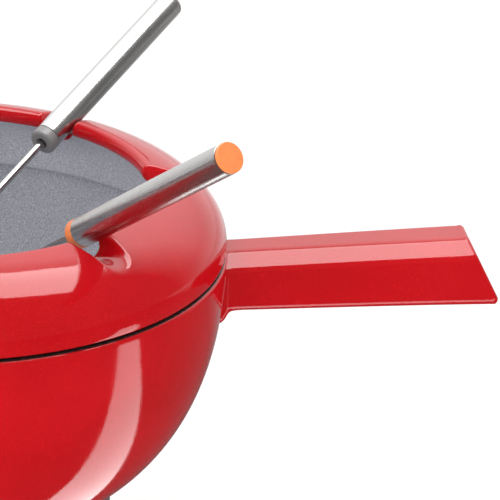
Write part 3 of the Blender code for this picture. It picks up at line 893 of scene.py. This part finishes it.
def build_burner():
    cup_steel = brushed_steel("cup_steel", (0.05, 0.05, 1.0), rough=(0.14, 0.3))
    lid_steel = brushed_steel("lid_steel", (1.0, 1.0, 1.0), rough=(0.16, 0.3),
                              scale=600.0)
    dark_steel = brushed_steel("regulator_steel", (1.0, 1.0, 1.0),
                               base=(0.30, 0.295, 0.29), rough=(0.2, 0.36),
                               scale=600.0)
    black = plug_plastic("knob_black", (0.022, 0.022, 0.024))
    fibre = soft_pad("wick_fibre", (0.60, 0.57, 0.50), (0.86, 0.84, 0.78),
                     900.0, (0.85, 1.0), 0.0002)
    turned_piece("burner_bowl",
                 [(42.0, 44.1, 0.7), (42.0, 4.1, 3.4), (0.0, 4.1, 0.0),
                  (0.0, 5.6, 0.0), (40.5, 5.6, 2.2), (40.5, 44.1, 0.7)],
                 128, cup_steel, "burner", closed=False, nodes=["burner_cup"])
    turned_piece("fuel_bowl",
                 [(39.5, 37.9, 0.5), (39.5, 36.7, 0.5), (37.0, 36.7, 0.6),
                  (37.0, 5.9, 2.0), (0.0, 5.9, 0.0), (0.0, 7.1, 0.0),
                  (35.8, 7.1, 1.5), (35.8, 37.9, 0.7)],
                 128, cup_steel, "burner", closed=False, nodes=["fuel_cup"])
    turned_piece("wick", [(0.0, 35.1, 0.0), (35.4, 35.1, 1.2), (35.4, 7.5, 1.0),
                          (0.0, 7.5, 0.0)],
                 96, fibre, "burner", closed=False, nodes=["wick_pad"])
    turned_piece("gauze", [(0.0, 36.2, 0.0), (35.4, 36.2, 0.3), (35.4, 35.6, 0.3),
                           (0.0, 35.6, 0.0)],
                 96, gauze_wire("gauze_wire"), "burner", closed=False,
                 nodes=["wire_gauze"])
    vented_disc("cover_disc", ["burner_cover"], "cover", lid_steel, 42.0, 22.0,
                44.4, 46.4, 0.0, skirt=40.2)
    vented_disc("regulator_disc", ["regulator_plate"], "regulator", dark_steel,
                32.0, 23.0, 46.7, 48.7, 30.0)
    turned_piece("snuffer_dome",
                 [(0.0, 56.0, 0.0), (13.75, 54.8, 14.0), (22.5, 52.4, 5.0),
                  (25.0, 50.2, 1.0), (25.0, 49.0, 0.3), (23.8, 49.0, 0.3),
                  (21.5, 51.2, 3.0), (12.5, 53.6, 8.0), (0.0, 54.8, 0.0)],
                 128, lid_steel, "snuffer", closed=False, nodes=["snuffer_lid"])
    turned_piece("snuffer_grip",
                 [(0.0, 68.3, 0.0), (4.55, 67.3, 4.0), (6.5, 64.3, 3.5),
                  (3.9, 61.3, 2.0), (2.5, 59.3, 2.0), (2.5, 56.3, 0.2),
                  (0.0, 56.3, 0.0)],
                 64, black, "snuffer", closed=False, nodes=["snuffer_knob"])
    build_lever(dark_steel, black)


def build_lever(steel, black):
    """Flat lever with softened edges, and its round grip."""
    turn = Matrix.Rotation(math.radians(-105.0), 4, "Z")
    sections = []
    for x, half, thick in ((33.4, 3.3, 0.75), (33.7, 3.42, 0.98), (45.0, 3.0, 0.98),
                           (60.0, 2.45, 0.98), (77.9, 1.78, 0.98), (78.3, 1.6, 0.75)):
        outline = []
        for step in range(32):
            angle = math.tau * step / 32
            c, s = math.cos(angle), math.sin(angle)
            y = math.copysign(abs(c) ** 0.18, c) * half
            z = math.copysign(abs(s) ** 0.30, s) * thick
            outline.append((x * MM, y * MM, (47.7 + z) * MM))
        sections.append(outline)
    mesh_data = bmesh.new()
    loft(mesh_data, sections)
    finish_mesh("lever_bar", mesh_data, [steel], "regulator",
                ["regulator_lever"], turn)
    ball = [(0.0, 4.98)]
    for step in range(1, 24):
        angle = math.pi * step / 24
        bulge = 4.98
        if abs(step - 12) <= 1:
            bulge = 4.86
        ball.append((bulge * math.sin(angle), bulge * math.cos(angle)))
    ball.append((0.0, -4.98))
    mesh_data = bmesh.new()
    lathe(mesh_data, ball, 48)
    place = (turn @ Matrix.Translation((83.6 * MM, 0.0, 47.7 * MM))
             @ Matrix.Rotation(math.radians(90.0), 4, "Y"))
    finish_mesh("lever_grip", mesh_data, [black], "regulator",
                ["regulator_grip"], place)


# -------------------------------------------------- floor, light and camera

def build_floor():
    """Large flat pale sheet; in reflections painted dark by the pot (painted shade) and
    pale far behind.
    """
    mesh_data = bmesh.new()
    bmesh.ops.create_grid(mesh_data, x_segments=8, y_segments=8, size=12.0)
    mesh = bpy.data.meshes.new("floor")
    mesh_data.to_mesh(mesh)
    mesh_data.free()
    material, tree, shader = new_material("floor_paper")
    place = tree.nodes.new("ShaderNodeTexCoord")
    fine = noise(tree, place.outputs["Object"], 30.0, 3.0)
    tone = remap(tree, fine, 0.3, 0.7, 0.0, 1.0)
    colour = blend_colours(tree, tone, (0.93, 0.93, 0.93), (0.95, 0.95, 0.95))
    rays = tree.nodes.new("ShaderNodeLightPath")
    parts = tree.nodes.new("ShaderNodeSeparateXYZ")
    tree.links.new(place.outputs["Object"], parts.inputs[0])
    # Seen in reflections only, the floor is painted dark near the pot and pale far
    # behind: painted shade.
    behind = remap(tree, parts.outputs["Y"], 0.25, 0.80, 0.0, 1.0)
    reflected_painted_shade = blend_colours(tree, behind, (0.11, 0.11, 0.11), (0.95, 0.95, 0.95))
    shown = blend_colours(tree, rays.outputs["Is Glossy Ray"], colour, reflected_painted_shade)
    tree.links.new(shown, shader.inputs["Base Color"])
    shader.inputs["Roughness"].default_value = 0.9
    shader.inputs["Specular IOR Level"].default_value = 0.1
    mesh.materials.append(material)
    floor = bpy.data.objects.new("floor", mesh)
    bpy.context.scene.collection.objects.link(floor)
    floor.location.z = -0.0002


def panel(name, place, target, size, power, turn=0.0, diffuse=True, glossy=True):
    """Rectangular soft light facing a target."""
    light = bpy.data.lights.new(name, "AREA")
    light.shape = "RECTANGLE"
    light.size, light.size_y = size
    light.energy = power
    lamp = bpy.data.objects.new(name, light)
    bpy.context.scene.collection.objects.link(lamp)
    aim = Vector(target) - Vector(place)
    lamp.matrix_world = (Matrix.Translation(place)
                         @ aim.to_track_quat("-Z", "Y").to_matrix().to_4x4()
                         @ Matrix.Rotation(math.radians(turn), 4, "Z"))
    lamp.visible_camera = False
    lamp.visible_diffuse = diffuse
    lamp.visible_glossy = glossy
    return lamp


def radiance_power(radiance, size):
    """Power of a flat panel that looks this bright."""
    return radiance * math.pi * size[0] * size[1]


def build_world():
    """White to the eye, even as a fill, and as reflected brighter behind."""
    world = bpy.data.worlds.new("studio")
    bpy.context.scene.world = world
    world.use_nodes = True
    tree = world.node_tree
    tree.nodes.clear()
    out = tree.nodes.new("ShaderNodeOutputWorld")
    place = tree.nodes.new("ShaderNodeTexCoord")
    parts = tree.nodes.new("ShaderNodeSeparateXYZ")
    tree.links.new(place.outputs["Generated"], parts.inputs[0])
    behind = remap(tree, parts.outputs["Y"], 0.22, 0.62, 0.0, 1.0)
    raised = remap(tree, parts.outputs["Z"], 0.25, 0.74, 0.0, 1.0)
    wall = blend_colours(tree, raised, (1.15, 1.15, 1.15), (2.7, 2.7, 2.7))
    surround = blend_colours(tree, behind, (0.22, 0.22, 0.22), wall)
    rays = tree.nodes.new("ShaderNodeLightPath")
    glossy = add(tree, "ShaderNodeBackground", Color=surround, Strength=1.0)
    plain = add(tree, "ShaderNodeBackground", Color=(1.0, 1.0, 1.0, 1.0),
                Strength=0.95)
    back = add(tree, "ShaderNodeBackground", Color=(1.0, 1.0, 1.0, 1.0),
               Strength=1.0)
    first = tree.nodes.new("ShaderNodeMixShader")
    tree.links.new(rays.outputs["Is Glossy Ray"], first.inputs[0])
    tree.links.new(plain.outputs[0], first.inputs[1])
    tree.links.new(glossy.outputs[0], first.inputs[2])
    second = tree.nodes.new("ShaderNodeMixShader")
    tree.links.new(rays.outputs["Is Camera Ray"], second.inputs[0])
    tree.links.new(first.outputs[0], second.inputs[1])
    tree.links.new(back.outputs[0], second.inputs[2])
    tree.links.new(second.outputs[0], out.inputs["Surface"])


def build_light():
    """Two soft fills, a card overhead and one low down for the belly's stripe."""
    build_world()
    size = (1.3, 0.62)
    panel("overhead", (0.03, 0.06, RIM + 1.0), (0.03, 0.06, RIM), size,
          radiance_power(8.0, size), turn=12.0, diffuse=False)
    size = (0.44, 0.078)
    place = (0.290, -0.105, 0.02)
    card = panel("strip", place, (0.290, -0.105, 0.5), size,
                 radiance_power(3.7, size), diffuse=False)
    card.matrix_world = (Matrix.Translation(place)
                         @ Matrix.Rotation(math.radians(STRIP_AZIMUTH), 4, "Z")
                         @ Matrix.Rotation(math.pi, 4, "X"))
    size = (1.6, 1.2)
    panel("fill_top", (-0.1, 0.1, 1.5), (0.0, 0.0, 0.1), size,
          radiance_power(1.25, size), glossy=False)
    size = (1.4, 1.0)
    panel("fill_front", (-0.45, -1.2, 0.45), (0.0, 0.0, 0.15), size,
          radiance_power(1.25, size), glossy=False)


def build_camera():
    camera = bpy.data.cameras.new("camera")
    camera.lens = CAMERA_LENS
    camera.sensor_width = 36.0
    camera.clip_start = 0.05
    camera.clip_end = 20.0
    eye = bpy.data.objects.new("camera", camera)
    bpy.context.scene.collection.objects.link(eye)
    yaw, pitch = math.radians(CAMERA_YAW), math.radians(CAMERA_PITCH)
    look = Vector((math.sin(yaw) * math.cos(pitch), math.cos(yaw) * math.cos(pitch),
                   math.sin(pitch)))
    eye.matrix_world = (Matrix.Translation(CAMERA_PLACE)
                        @ look.to_track_quat("-Z", "Y").to_matrix().to_4x4()
                        @ Matrix.Rotation(math.radians(CAMERA_ROLL), 4, "Z"))
    bpy.context.scene.camera = eye


build_camera()
build_pot()
build_guard()
for fork_number, fork_row in enumerate(FORKS, start=1):
    build_fork(fork_number, fork_row)
build_stand()
build_burner()
build_floor()
build_light()
bpy.context.scene.view_settings.view_transform = "Standard"
